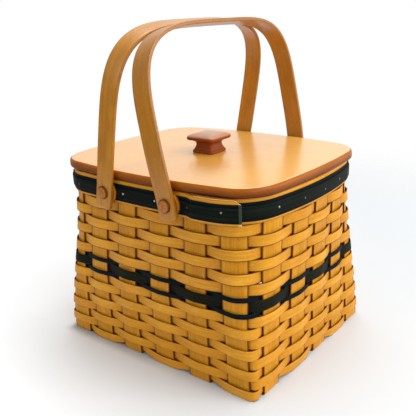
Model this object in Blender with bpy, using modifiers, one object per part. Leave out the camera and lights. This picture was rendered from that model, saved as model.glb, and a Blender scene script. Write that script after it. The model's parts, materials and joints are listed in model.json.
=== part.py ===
"""Woven splint pie basket with a lift-off wooden lid and two swing handles.

Metres, +Z up. The origin is the middle of the base, on the surface that the basket stands on.
The long front face looks along -Y, and the short right end looks along +X.
Uprights are flat splints that run down one wall, across the base and up the other wall.
Weavers are flat splints that go round the uprights, over one and under the next.
"""

import math

import bpy
import bmesh
import numpy as np
from mathutils import Matrix

# Clearances
seat_gap = 0.0003
hole_gap = 0.0003
cut_overrun = 0.004

# Wall outline, on the mid-plane of the uprights, at the base and at the rim
base_half_length = 0.1445
base_half_width = 0.1219
base_corner_radius = 0.0075
rim_flare_length = 0.0034
rim_flare_width = 0.0003
rim_corner_radius = 0.0500
rim_end_bow_radius = 0.435
rim_side_bow_radius = 1.270
straight_bow_radius = 60.0
corner_opens_share = 0.10
corner_opened_share = 0.97
arc_points = 24

# Uprights: flat splints, six from front to back and five from side to side
front_upright_count = 6
side_upright_count = 5
upright_cover_share = 0.598
upright_thickness = 0.0014
fold_radius = 0.0025

# Centre lines of the uprights along each wall, left to right or front to back,
# as shares of the wall's half length at that height.
# The plait in the base sets the lowest places, which two opposite walls share.
front_back_base_shares = (-0.8581, -0.5606, -0.2284, 0.1349, 0.4879, 0.8547)
front_middle_shares = (-0.8552, -0.5679, -0.2326, 0.1266, 0.4823, 0.8244)
front_rim_shares = (-0.7877, -0.4767, -0.1555, 0.1724, 0.4970, 0.7978)
back_middle_shares = (-0.8347, -0.5336, -0.2258, 0.1095, 0.4447, 0.7663)
back_rim_shares = (-0.7911, -0.4801, -0.1690, 0.1420, 0.4496, 0.7404)
side_side_base_shares = (-0.7055, -0.3281, 0.0492, 0.4184, 0.7711)
right_middle_shares = (-0.6965, -0.3032, 0.0655, 0.4425, 0.7948)
right_rim_shares = (-0.6260, -0.2373, 0.1064, 0.4501, 0.7938)
left_middle_shares = (-0.6965, -0.3277, 0.0410, 0.4015, 0.7538)
left_rim_shares = (-0.6874, -0.3437, 0.0000, 0.3437, 0.6874)
middle_height = 0.0950
upright_top_setback = 0.0016
crossing_margin = 0.0008
crossing_slack = 0.00020
fold_steps = 3
corner_wall_steps = 4
plain_wall_steps = 1
gap_turn_share = 0.35
gap_step_share = 0.50
turn_step_share = 0.50

# Weavers, from the base up: eight natural, narrow, wide and narrow dark ones, six natural
weaver_thickness = 0.0012
lower_weaver_width = 0.0108
upper_weaver_width = 0.0122
accent_weaver_width = 0.0114
narrow_weaver_width = 0.0045
row_gap = 0.0006
rows_bottom = 0.0010
lower_row_count = 8
upper_row_count = 6
first_row_rise = 0.0050
weaver_bulge = 0.0032
weaver_station_share = 0.30

# Rim: an inner and an outer natural band, a dark trim band and a narrow dark strip
inner_band_thickness = 0.0020
inner_band_setback = 0.0004
outer_band_height = 0.0269
outer_band_thickness = 0.0018
trim_band_height = 0.0200
trim_band_thickness = 0.0012
trim_reveal_below = 0.0030
trim_strip_height = 0.0125
trim_strip_thickness = 0.0008
band_start = 0.0780
band_end = 0.1260
lap_ramp_length = 0.0140
end_mitre_length = 0.0060
end_mitre_drop = 0.0050
end_spring_length = 0.0240
end_spring = 0.0016

# Handle pivots: an ear on the rim and a headed peg through leg, ear and bands
pivot_place_share = 0.31576
ear_radius = 0.0138
ear_thickness = 0.0030
ear_edge_round = 0.0008
peg_radius = 0.0035
peg_head_radius = 0.0075
peg_head_height = 0.0036
peg_head_rim = 0.0010
peg_end_stand = 0.0010
peg_chamfer = 0.0005
peg_dome_points = 3

# Handles: flat bent straps
strap_width = 0.0234
strap_thickness = 0.0044
strap_edge = 0.0011
strap_tail = 0.0190
strap_tail_round = 0.0040
handle_rise = 0.1826
handle_straight_length = 0.0090
handle_leg_length = 0.0610
handle_spread = 0.0023
handle_shoulder_power = 3.9
handle_leg_steps = 3
handle_shoulder_steps = 9

# Lid: a bowed board with battens below and a moulded square knob
lid_end_overhang = 0.0045
lid_side_overhang = 0.0051
lid_corner_radius = 0.0459
lid_bow_radius = 0.7620
lid_thickness = 0.0108
lid_edge_round = 0.0038
lid_edge_segments = 2
batten_width = 0.0160
batten_thickness = 0.0085
batten_clearance = 0.0030
batten_length = 0.1500
batten_edge = 0.0012
knob_base_half = 0.0155
knob_plate_half = 0.0206
knob_neck_half = 0.0118
knob_height = 0.0240
knob_corner_share = 0.22
screw_radius = 0.0022
screw_head_radius = 0.0042
screw_head_height = 0.0024
screw_reach_share = 0.55

# Lengths that follow from the sizes above
rim_half_length = base_half_length + rim_flare_length
rim_half_width = base_half_width + rim_flare_width
pivot_offset = rim_half_length * pivot_place_share
front_upright_width = 2 * base_half_length / front_upright_count * upright_cover_share
side_upright_width = 2 * base_half_width / side_upright_count * upright_cover_share
lid_half_length = rim_half_length + lid_end_overhang
lid_half_width = rim_half_width + lid_side_overhang

# Heights that follow from the sizes above
rows_top = (rows_bottom + lower_row_count * (lower_weaver_width + row_gap)
            + upper_row_count * (upper_weaver_width + row_gap)
            + accent_weaver_width + row_gap + 2 * (narrow_weaver_width + row_gap))
outer_band_bottom = rows_top
outer_band_top = outer_band_bottom + outer_band_height
trim_band_bottom = outer_band_bottom + trim_reveal_below
trim_band_top = trim_band_bottom + trim_band_height
trim_strip_bottom = trim_band_bottom + (trim_band_height - trim_strip_height) / 2
trim_strip_top = trim_strip_bottom + trim_strip_height
upright_top = outer_band_top - upright_top_setback
flare_height = trim_band_bottom
pivot_height = (trim_band_bottom + trim_band_top) / 2
lid_bottom = outer_band_top + seat_gap
lid_top = lid_bottom + lid_thickness

# Distances out from the mid-plane of the uprights
weaver_offset = upright_thickness / 2 + seat_gap + weaver_thickness / 2 + crossing_slack
inner_band_offset = -(upright_thickness / 2 + seat_gap + inner_band_thickness / 2)
outer_band_offset = upright_thickness / 2 + seat_gap + outer_band_thickness / 2
trim_band_offset = outer_band_offset + (outer_band_thickness + trim_band_thickness) / 2 + seat_gap
trim_strip_offset = trim_band_offset + (trim_band_thickness + trim_strip_thickness) / 2 + seat_gap
rim_face_offset = trim_strip_offset + trim_strip_thickness / 2
lap_lift = rim_face_offset + seat_gap - (outer_band_offset - outer_band_thickness / 2)

# Places of the uprights at the base, the middle height and the rim, wall by wall from the front
wall_places = ((front_back_base_shares, front_middle_shares, front_rim_shares),
               (side_side_base_shares, right_middle_shares, right_rim_shares),
               (front_back_base_shares, back_middle_shares, back_rim_shares),
               (side_side_base_shares, left_middle_shares, left_rim_shares))

# Level of the lower and of the upper splint where two cross in the base
base_low = upright_thickness / 2
base_high = base_low + upright_thickness + seat_gap

honey = (0.70, 0.41, 0.13)
honey_light = (0.74, 0.46, 0.17)
dark_green = (0.030, 0.040, 0.035)
blue_black = (0.016, 0.022, 0.032)
handle_tan = (0.50, 0.27, 0.09)
lid_honey = (0.80, 0.46, 0.21)
knob_brown = (0.33, 0.12, 0.05)
peg_brown = (0.46, 0.22, 0.10)
steel = (0.55, 0.55, 0.56)


def start_clean():
    """Remove every object and give back the part and the cutter collections."""
    for old in list(bpy.data.objects):
        bpy.data.objects.remove(old, do_unlink=True)
    part = bpy.data.collections.new("pie_basket")
    cutters = bpy.data.collections.new("cutters")
    bpy.context.scene.collection.children.link(part)
    bpy.context.scene.collection.children.link(cutters)
    return part, cutters


def make_material(name, colour, roughness, metallic=0.0):
    material = bpy.data.materials.new(name)
    material.use_nodes = True
    shader = material.node_tree.nodes["Principled BSDF"]
    shader.inputs["Base Color"].default_value = (*colour, 1.0)
    shader.inputs["Roughness"].default_value = roughness
    shader.inputs["Metallic"].default_value = metallic
    return material


def add_object(name, mesh, material):
    """Link a mesh into the part's collection under its node name."""
    thing = bpy.data.objects.new(name, mesh)
    thing.data.materials.append(material)
    part_collection.objects.link(thing)
    return thing


def add_cutter(name, mesh):
    cutter = bpy.data.objects.new(name, mesh)
    cutter.hide_render = True
    cutter.display_type = "WIRE"
    cutter_collection.objects.link(cutter)
    return cutter


def cut(thing, cutter):
    boolean = thing.modifiers.new("cut_" + cutter.name, "BOOLEAN")
    boolean.operation = "DIFFERENCE"
    boolean.solver = "EXACT"
    boolean.object = cutter


def ease(start, end, share):
    """Smooth step from start to end as share goes from 0 to 1."""
    share = min(max(share, 0.0), 1.0)
    return start + (end - start) * share * share * (3 - 2 * share)


def blend(start, end, share):
    return start + (end - start) * share


class Outline:
    """A rectangle with bowed sides and round corners, walked by distance from the front middle."""

    def __init__(self, half_length, half_width, corner, end_bow, side_bow):
        end_centre = np.array([half_length - end_bow, 0.0])
        side_centre = np.array([0.0, half_width - side_bow])
        end_reach = end_bow - corner
        side_reach = side_bow - corner
        between = side_centre - end_centre
        apart = np.linalg.norm(between)
        along = (end_reach ** 2 - side_reach ** 2 + apart ** 2) / (2 * apart)
        across = math.sqrt(max(end_reach ** 2 - along ** 2, 0.0))
        unit = between / apart
        normal = np.array([unit[1], -unit[0]])
        middle = end_centre + unit * along
        corner_centre = max(middle + normal * across, middle - normal * across, key=lambda p: p[0] + p[1])
        end_turn = math.atan2(*(corner_centre - end_centre)[::-1])
        side_turn = math.atan2(*(corner_centre - side_centre)[::-1])
        arcs = ((end_centre, end_bow, 0.0, end_turn),
                (corner_centre, corner, end_turn, side_turn),
                (side_centre, side_bow, side_turn, math.pi / 2))
        points, normals = [], []
        for centre, radius, start, stop in arcs:
            for turn in np.linspace(start, stop, arc_points):
                ray = np.array([math.cos(turn), math.sin(turn)])
                points.append(centre + radius * ray)
                normals.append(ray)
        quarter = np.array(points)
        rays = np.array(normals)
        # From the front middle: front right quarter, back right, back left, front left
        order = ((1, -1, -1), (1, 1, 1), (-1, 1, -1), (-1, -1, 1))
        loop = [quarter[::step] * (sx, sy) for sx, sy, step in order]
        outward = [rays[::step] * (sx, sy) for sx, sy, step in order]
        self.points = np.vstack(loop)
        self.normals = np.vstack(outward)
        steps = np.linalg.norm(np.diff(self.points, axis=0), axis=1)
        self.walk = np.concatenate([[0.0], np.cumsum(steps)])
        self.length = self.walk[-1]
        self.corner_walk = corner * (side_turn - end_turn)
        self.corner_middle = self.length / 4 - (end_bow * end_turn + self.corner_walk / 2)

    def at(self, walked, out):
        """Point at a distance round the outline, pushed out along its normal."""
        walked = walked % self.length
        x = np.interp(walked, self.walk, self.points[:, 0])
        y = np.interp(walked, self.walk, self.points[:, 1])
        nx = np.interp(walked, self.walk, self.normals[:, 0])
        ny = np.interp(walked, self.walk, self.normals[:, 1])
        size = math.hypot(nx, ny)
        return x + out * nx / size, y + out * ny / size


outline_store = {}


def wall_outline(height):
    """Outline of the uprights' mid-plane at a height above the base."""
    key = round(height * 1e6)
    if key not in outline_store:
        share = min(max(height / flare_height, 0.0), 1.0)
        opened = (share - corner_opens_share) / (corner_opened_share - corner_opens_share)
        flatness = 1 / straight_bow_radius
        outline_store[key] = Outline(
            blend(base_half_length, rim_half_length, share),
            blend(base_half_width, rim_half_width, share),
            ease(base_corner_radius, rim_corner_radius, opened),
            1 / max(share / rim_end_bow_radius, flatness),
            1 / max(share / rim_side_bow_radius, flatness))
    return outline_store[key]


def wall_point(height, walked, out):
    x, y = wall_outline(height).at(walked, out)
    return x, y, height


def upright_place(number, height):
    """Distance round the wall of an upright's centre line; uprights are counted from the front left."""
    per_half = front_upright_count + side_upright_count
    half, index = divmod(number, per_half)
    quarter = wall_outline(height).length / 4
    sideways = index >= front_upright_count
    tables = wall_places[2 * half + sideways]
    if sideways:
        index -= front_upright_count
    if half:
        index = -1 - index
    share = np.interp(height, (0.0, middle_height, flare_height), [table[index] for table in tables])
    base_half = base_half_width if sideways else base_half_length
    rim_half = rim_half_width if sideways else rim_half_length
    place = share * blend(base_half, rim_half, min(max(height / flare_height, 0.0), 1.0))
    return quarter * (2 * half + sideways) + (-place if half else place)


upright_total = 2 * (front_upright_count + side_upright_count)


def upright_half(number):
    """Half the width of an upright."""
    index = number % (front_upright_count + side_upright_count)
    return (front_upright_width if index < front_upright_count else side_upright_width) / 2


def upright_across(number):
    """Places across an upright's width, from its centre line; one at a corner bends in its middle."""
    half = upright_half(number)
    return (-half, 0.0, half) if is_at_corner(number) else (-half, half)


def is_at_corner(number):
    index = number % (front_upright_count + side_upright_count)
    return index == 0 or index == front_upright_count or is_last_before_corner(number)


def is_last_before_corner(number):
    index = number % (front_upright_count + side_upright_count)
    return index in (front_upright_count - 1, front_upright_count + side_upright_count - 1)


def corner_number(number):
    """Which corner, 0 to 3 from the front right, follows this upright."""
    half, index = divmod(number, front_upright_count + side_upright_count)
    return 2 * half + (0 if index == front_upright_count - 1 else 1)


def corner_places(number, height):
    """Places in the gap after this upright where the wall turns, between the two uprights' edges."""
    outline = wall_outline(height)
    corner = corner_number(number)
    quarter = outline.length / 4
    middle = outline.corner_middle
    if corner % 2:
        middle = quarter - middle
    middle += corner * quarter
    following = (number + 1) % upright_total
    before = upright_place(number, height) + upright_half(number)
    after = upright_place(following, height) - upright_half(following)
    if after < before:
        after += outline.length
    middle = min(max(middle, blend(before, after, gap_turn_share)), blend(after, before, gap_turn_share))
    half_turn = outline.corner_walk / 2 * turn_step_share
    first = middle - min(half_turn, (middle - before) * gap_step_share)
    last = middle + min(half_turn, (after - middle) * gap_step_share)
    return before, first, last, after


def ribbon(name, rails, material, thickness, closed):
    """A splint: an open ribbon between rails of points, thickened evenly about its mid-plane."""
    count = len(rails)
    stations = len(rails[0])
    mesh = bpy.data.meshes.new(name)
    verts = [point for rail in rails for point in rail]
    faces = []
    for k in range(stations if closed else stations - 1):
        after = (k + 1) % stations
        for row in range(count - 1):
            low, high = row * stations, (row + 1) * stations
            faces.append((low + k, low + after, high + after, high + k))
    mesh.from_pydata(verts, [], faces)
    thing = add_object(name, mesh, material)
    solidify = thing.modifiers.new("thickness", "SOLIDIFY")
    solidify.thickness = thickness
    solidify.offset = 0.0
    solidify.use_even_offset = True
    return thing


def weaver_rail(height, over_first, rise):
    """One long edge of a weaver: it bulges out over one upright and in behind the next."""
    rail = []
    for number in range(upright_total):
        over = (number % 2 == 0) == over_first
        sign = 1 if over else -1
        level = height if over else height + rise
        place = upright_place(number, level)
        half = upright_half(number)
        reach = 2 * half * weaver_station_share
        if is_at_corner(number):
            stations = ((-half, weaver_offset), (0.0, weaver_bulge), (half, weaver_offset))
        else:
            stations = ((-reach, weaver_bulge), (reach, weaver_bulge))
        for side, out in stations:
            rail.append(wall_point(level, place + side, sign * out))
        if is_last_before_corner(number):
            before, first, last, after = corner_places(number, height)
            next_level = height + rise if over else height
            for walked in (first, last):
                share = (walked - before) / (after - before)
                out = blend(sign * weaver_offset, -sign * weaver_offset, share)
                rail.append(wall_point(blend(level, next_level, share), walked, out))
    return rail


def make_weaver(name, bottom, width, over_first, material, rise=0.0):
    rails = (weaver_rail(bottom, over_first, rise), weaver_rail(bottom + width, over_first, 0.0))
    return ribbon(name, rails, material, weaver_thickness, closed=True)


def make_weavers():
    natural = make_material("weaver_natural", honey, 0.55)
    wide_dark = make_material("weaver_dark_wide", dark_green, 0.50)
    narrow_dark = make_material("weaver_dark_narrow", blue_black, 0.45)
    rows = [(f"lower_weaver_{k + 1}", lower_weaver_width, natural) for k in range(lower_row_count)]
    rows.append(("accent_weaver_narrow_lower", narrow_weaver_width, narrow_dark))
    rows.append(("accent_weaver_wide", accent_weaver_width, wide_dark))
    rows.append(("accent_weaver_narrow_upper", narrow_weaver_width, narrow_dark))
    rows += [(f"upper_weaver_{k + 1}", upper_weaver_width, natural) for k in range(upper_row_count)]
    bottom = rows_bottom + row_gap / 2
    for k, (name, width, material) in enumerate(rows):
        make_weaver(name, bottom, width, k % 2 == 1, material, first_row_rise if k == 0 else 0.0)
        bottom += width + row_gap


def upright_level(own, other, own_runs_front):
    """Height of an upright where it crosses another in the base: they plait, over and under."""
    above = (own + other) % 2 == 0
    return base_high if above == own_runs_front else base_low


def make_upright(name, index, runs_front, material):
    """One splint: down a wall, across the base through the plait, and up the opposite wall."""
    own_count = front_upright_count if runs_front else side_upright_count
    other_count = side_upright_count if runs_front else front_upright_count
    per_half = front_upright_count + side_upright_count
    if runs_front:
        near, far = index, per_half + own_count - 1 - index
        own_middle = front_back_base_shares[index] * base_half_length
        other_base, crossed_half = side_side_base_shares, base_half_width
    else:
        near, far = 2 * per_half - 1 - index, front_upright_count + index
        own_middle = side_side_base_shares[index] * base_half_width
        other_base, crossed_half = front_back_base_shares, base_half_length
    across = upright_across(near)
    wall_steps = corner_wall_steps if is_at_corner(near) else plain_wall_steps

    def place(along, side, level):
        return (side, along, level) if runs_front else (along, side, level)

    def wall_points(number, walk_sign, level):
        """Fold and wall stations of one end, from the base up."""
        foot = level + fold_radius
        heights = [*np.linspace(foot, middle_height, wall_steps + 1)[:-1],
                   *np.linspace(middle_height, flare_height, wall_steps + 1), upright_top]
        rows = []
        for step in range(fold_steps):
            turn = math.pi / 2 * step / fold_steps
            row = []
            for side in across:
                x, y, _ = wall_point(foot, upright_place(number, foot) + walk_sign * side, 0.0)
                inward = fold_radius * (1 - math.sin(turn))
                if runs_front:
                    y -= math.copysign(inward, y)
                else:
                    x -= math.copysign(inward, x)
                row.append((x, y, level + fold_radius * (1 - math.cos(turn))))
            rows.append(row)
        for height in heights:
            rows.append([wall_point(height, upright_place(number, height) + walk_sign * side, 0.0)
                         for side in across])
        return rows

    near_level = upright_level(index, 0, runs_front)
    far_level = upright_level(index, other_count - 1, runs_front)
    stations = wall_points(near, 1.0 if runs_front else -1.0, near_level)[::-1]
    crossed_width = side_upright_width if runs_front else front_upright_width
    half = crossed_width / 2 + crossing_margin
    for other, share in enumerate(other_base):
        centre = share * crossed_half
        level = upright_level(index, other, runs_front)
        for edge in (-half, half):
            stations.append([place(centre + edge, own_middle + side, level) for side in across])
    stations += wall_points(far, -1.0 if runs_front else 1.0, far_level)
    rails = [[row[k] for row in stations] for k in range(len(across))]
    return ribbon(name, rails, material, upright_thickness, closed=False)


def make_uprights():
    material = make_material("upright_natural", honey, 0.58)
    for index in range(front_upright_count):
        make_upright(f"front_back_upright_{index + 1}", index, True, material)
    for index in range(side_upright_count):
        make_upright(f"side_side_upright_{index + 1}", index, False, material)


def rim_stations():
    """Distances round the rim where the bands bend: the uprights' edges, and their middles at corners."""
    places = []
    for number in range(upright_total):
        for side in upright_across(number):
            places.append(upright_place(number, flare_height) + side)
    return places


def make_inner_band(material):
    places = rim_stations()
    bottom = outer_band_bottom + inner_band_setback
    top = outer_band_top - inner_band_setback
    rails = [[wall_point(height, walked, inner_band_offset) for walked in places] for height in (bottom, top)]
    return ribbon("inner_rim_band", rails, material, inner_band_thickness, closed=True)


def lapped_band(name, bottom, top, offset, thickness, material, mitred):
    """A band bent once round the rim, whose outer end laps over its own start near the right corner."""
    length = wall_outline(flare_height).length
    first = [walked for walked in rim_stations() if walked > band_start + cut_overrun]
    last_bend = band_end - end_mitre_length - cut_overrun
    second = [walked + length for walked in rim_stations() if walked < last_bend]
    ramp_start = length + band_start - lap_ramp_length
    ramp_end = length + band_start - seat_gap
    ramp = [ramp_start, (ramp_start + ramp_end) / 2, ramp_end]
    second = [walked for walked in second if not ramp_start - cut_overrun < walked < ramp_end + cut_overrun]
    end = length + band_end
    places = sorted([band_start, *first, *second, *ramp, end - end_mitre_length, end])
    lifts = []
    for walked in places:
        sprung = max(0.0, 1 - (end - walked) / end_spring_length)
        lift = ease(0.0, lap_lift, (walked - ramp_start) / (ramp_end - ramp_start))
        lifts.append(lift + end_spring * sprung ** 2)
    tops = [top] * len(places)
    if mitred:
        tops[-1] = top - end_mitre_drop
    rails = ([wall_point(bottom, walked, offset + lift) for walked, lift in zip(places, lifts)],
             [wall_point(high, walked, offset + lift) for high, walked, lift in zip(tops, places, lifts)])
    return ribbon(name, rails, material, thickness, closed=False)


def make_rim():
    natural = make_material("rim_natural", honey_light, 0.50)
    trim = make_material("rim_trim_dark", dark_green, 0.50)
    strip = make_material("rim_strip_dark", blue_black, 0.48)
    bands = [make_inner_band(natural)]
    bands.append(lapped_band("outer_rim_band", outer_band_bottom, outer_band_top, outer_band_offset,
                             outer_band_thickness, natural, True))
    bands.append(lapped_band("trim_band", trim_band_bottom, trim_band_top, trim_band_offset,
                             trim_band_thickness, trim, False))
    bands.append(lapped_band("trim_strip", trim_strip_bottom, trim_strip_top, trim_strip_offset,
                             trim_strip_thickness, strip, False))
    for band in bands:
        for bore in pivot_bores:
            cut(band, bore)


def cylinder_mesh(name, radius, length, sides):
    mesh = bpy.data.meshes.new(name)
    shape = bmesh.new()
    bmesh.ops.create_cone(shape, cap_ends=True, segments=sides, radius1=radius, radius2=radius, depth=length)
    shape.to_mesh(mesh)
    shape.free()
    return mesh


def make_pivot_bores():
    """Long cutters on the two hinge axes, through legs, ears and bands of both faces."""
    bores = []
    for name, side in (("pivot_bore_left", -1), ("pivot_bore_right", 1)):
        mesh = cylinder_mesh(name, peg_radius + hole_gap, 2 * (leg_face + cut_overrun), 12)
        bore = add_cutter(name, mesh)
        bore.location = (side * pivot_offset, 0.0, pivot_height)
        bore.rotation_euler = (math.pi / 2, 0.0, 0.0)
        bores.append(bore)
    return bores


def turned(name, profile, steps, material, ring=False):
    """A round piece turned about its own Z from a profile listed top to bottom; a ring's is closed."""
    mesh = bpy.data.meshes.new(name)
    verts = [(radius, 0.0, height) for radius, height in profile]
    edges = [(k, k + 1) for k in range(len(verts) - 1)]
    if ring:
        edges.append((len(verts) - 1, 0))
    mesh.from_pydata(verts, edges, [])
    thing = add_object(name, mesh, material)
    screw = thing.modifiers.new("turn", "SCREW")
    screw.axis = "Z"
    screw.angle = 2 * math.pi
    screw.steps = steps
    screw.render_steps = steps
    screw.use_merge_vertices = True
    screw.merge_threshold = 0.00001
    screw.use_smooth_shade = True
    return thing


def make_ears():
    """Round wooden ears that stand off the rim, shaped to it at the back and flat to the leg."""
    material = make_material("ear_wood", handle_tan, 0.50)
    former = filled_outline("rim_former", rim_face_outline, ear_radius * 2 + cut_overrun)
    former_cutter = add_cutter("rim_former", former)
    former_cutter.location = (0.0, 0.0, pivot_height)
    bore = peg_radius + hole_gap
    depth = ear_face - rim_half_width + cut_overrun
    profile = [(bore, 0.0), (ear_radius - ear_edge_round, 0.0), (ear_radius, -ear_edge_round),
               (ear_radius, -depth), (bore, -depth)]
    for depth_name, facing in (("front", -1), ("back", 1)):
        for side_name, side in (("left", -1), ("right", 1)):
            ear = turned(f"handle_ear_{depth_name}_{side_name}", profile, 24, material, ring=True)
            ear.location = (side * pivot_offset, facing * ear_face, pivot_height)
            ear.rotation_euler = (-facing * math.pi / 2, 0.0, 0.0)
            cut(ear, former_cutter)


def round_edges(thing, width, segments):
    bevel = thing.modifiers.new("round_edges", "BEVEL")
    bevel.width = width
    bevel.segments = segments
    bevel.limit_method = "ANGLE"
    bevel.angle_limit = math.radians(40)


def filled_outline(name, points, thickness):
    """A flat board of an outline, as a mesh, centred on its own Z."""
    curve = bpy.data.curves.new(name, "CURVE")
    curve.dimensions = "2D"
    curve.fill_mode = "BOTH"
    curve.extrude = thickness / 2
    spline = curve.splines.new("POLY")
    spline.points.add(len(points) - 1)
    for point, (x, y) in zip(spline.points, points):
        point.co = (x, y, 0.0, 1.0)
    spline.use_cyclic_u = True
    holder = bpy.data.objects.new(name + "_curve", curve)
    part_collection.objects.link(holder)
    depsgraph = bpy.context.evaluated_depsgraph_get()
    mesh = bpy.data.meshes.new_from_object(holder.evaluated_get(depsgraph))
    bpy.data.objects.remove(holder, do_unlink=True)
    shape = bmesh.new()
    shape.from_mesh(mesh)
    bmesh.ops.remove_doubles(shape, verts=shape.verts, dist=0.00001)
    shape.to_mesh(mesh)
    shape.free()
    mesh.name = name
    return mesh


def make_pegs():
    """Headed wooden pegs: the hinge pins of the handles."""
    material = make_material("peg_wood", peg_brown, 0.45)
    inner_face = -wall_point(pivot_height, pivot_offset, inner_band_offset - inner_band_thickness / 2)[1]
    shank = leg_face + seat_gap - inner_face + peg_end_stand
    dome = []
    for k in range(peg_dome_points + 1):
        turn = math.pi / 2 * (1 - k / peg_dome_points)
        dome.append((peg_head_radius * math.cos(turn),
                     peg_head_rim + (peg_head_height - peg_head_rim) * math.sin(turn)))
    profile = [*dome, (peg_head_radius, 0.0), (peg_radius, 0.0), (peg_radius, peg_chamfer - shank),
               (peg_radius - peg_chamfer, -shank), (0.0, -shank)]
    for depth_name, facing in (("front", -1), ("back", 1)):
        for side_name, side in (("left", -1), ("right", 1)):
            peg = turned(f"handle_peg_{depth_name}_{side_name}", profile, 14, material)
            peg.location = (side * pivot_offset, facing * (leg_face + seat_gap), pivot_height)
            peg.rotation_euler = (-facing * math.pi / 2, 0.0, 0.0)


def handle_path():
    """Mid-line of a strap in its own frame, hinge axis at zero: pairs of Y and Z, front leg first."""
    half_foot = leg_face - strap_thickness / 2
    half_span = half_foot + handle_spread
    rise = handle_rise - strap_thickness / 2 - handle_leg_length
    side = [(half_foot, -strap_tail), (half_foot, strap_tail_round - strap_tail)]
    for k in range(handle_leg_steps + 1):
        share = k / handle_leg_steps
        side.append((blend(half_foot, half_span, math.sin(share * math.pi / 2)),
                     blend(handle_straight_length, handle_leg_length, share)))
    for k in range(1, handle_shoulder_steps + 1):
        turn = math.pi / 2 * k / handle_shoulder_steps
        cos, sin = math.cos(turn), math.sin(turn)
        reach = (abs(cos) ** handle_shoulder_power + abs(sin) ** handle_shoulder_power) ** (
            -1 / handle_shoulder_power)
        side.append((half_span * reach * cos, handle_leg_length + rise * reach * sin))
    side[-1] = (0.0, side[-1][1])
    return [(-y, z) for y, z in side] + [(y, z) for y, z in side[-2::-1]]


def make_handle(name, side, material):
    path = handle_path()
    half = strap_width / 2
    last = len(path) - 1
    halves = [half - strap_tail_round if k in (0, last) else half for k in range(last + 1)]
    rails = [[(sign * wide, y, z) for wide, (y, z) in zip(halves, path)] for sign in (1, -1)]
    handle = ribbon(name, rails, material, strap_thickness, closed=False)
    round_edges(handle, strap_edge, 1)
    hinge = bpy.data.objects.new(name + "_hinge", None)
    part_collection.objects.link(hinge)
    hinge.location = (side * pivot_offset, 0.0, pivot_height)
    hinge.rotation_euler = (0.0, -side * handle_lean, 0.0)
    handle.parent = hinge
    bpy.context.view_layer.update()
    cut(handle, pivot_bores[0 if side < 0 else 1])
    return handle


def make_handles():
    material = make_material("handle_wood", handle_tan, 0.42)
    make_handle("handle_left", -1, material)
    make_handle("handle_right", 1, material)


def board_outline(half_length, half_width, corner, end_bow, side_bow, spacing):
    """Points round a bowed board, close enough together for its corners to read as round."""
    outline = Outline(half_length, half_width, corner, end_bow, side_bow)
    places = []
    for quarter in range(4):
        start = quarter * outline.length / 4
        middle = outline.corner_middle
        if quarter % 2:
            middle = outline.length / 4 - middle
        reach = outline.corner_walk / 2
        corner_steps = np.linspace(middle - reach, middle + reach, spacing)
        places += [start, *(start + corner_steps)]
    return [outline.at(walked, 0.0) for walked in places]


def make_batten(name, location, material):
    """A straight rounded batten on the lid's underside, just inside an end of the rim."""
    bpy.ops.mesh.primitive_cube_add(size=1.0)
    batten = bpy.context.object
    for collection in list(batten.users_collection):
        collection.objects.unlink(batten)
    part_collection.objects.link(batten)
    batten.name = name
    batten.data.name = name
    batten.data.transform(Matrix.Diagonal((batten_width, batten_length, batten_thickness, 1.0)))
    batten.location = location
    batten.data.materials.append(material)
    round_edges(batten, batten_edge, 1)
    return batten


def knob_profile():
    """Half widths and heights of the square knob, from its foot to its crown."""
    base, neck, plate = knob_base_half, knob_neck_half, knob_plate_half
    shares = ((base, 0.0), (base, 0.10), (blend(neck, base, 0.75), 0.17), (blend(neck, base, 0.70), 0.22),
              (blend(neck, base, 0.15), 0.32), (neck, 0.45), (blend(neck, plate, 0.20), 0.56),
              (blend(neck, plate, 0.80), 0.63), (plate, 0.68), (plate, 0.79), (plate * 0.95, 0.86),
              (plate * 0.72, 0.94), (plate * 0.36, 1.0))
    return [(half, knob_height * share) for half, share in shares]


def square_ring(half, height, corner_steps):
    """A square with round corners at one height, by distance round it."""
    corner = half * knob_corner_share
    ring = []
    for quarter in range(4):
        for k in range(corner_steps):
            turn = math.pi / 2 * (quarter + k / (corner_steps - 1))
            cx = (half - corner) * math.copysign(1.0, math.cos(math.pi / 2 * quarter + math.pi / 4))
            cy = (half - corner) * math.copysign(1.0, math.sin(math.pi / 2 * quarter + math.pi / 4))
            ring.append((cx + corner * math.cos(turn), cy + corner * math.sin(turn), height))
    return ring


def loft(name, rings, material):
    """A closed solid through rings of as many points each."""
    count = len(rings[0])
    verts = [point for ring in rings for point in ring]
    faces = [tuple(range(count))[::-1]]
    for row in range(len(rings) - 1):
        low, high = row * count, (row + 1) * count
        for k in range(count):
            after = (k + 1) % count
            faces.append((low + k, low + after, high + after, high + k))
    faces.append(tuple((len(rings) - 1) * count + k for k in range(count)))
    mesh = bpy.data.meshes.new(name)
    mesh.from_pydata(verts, [], faces)
    return add_object(name, mesh, material)


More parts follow.
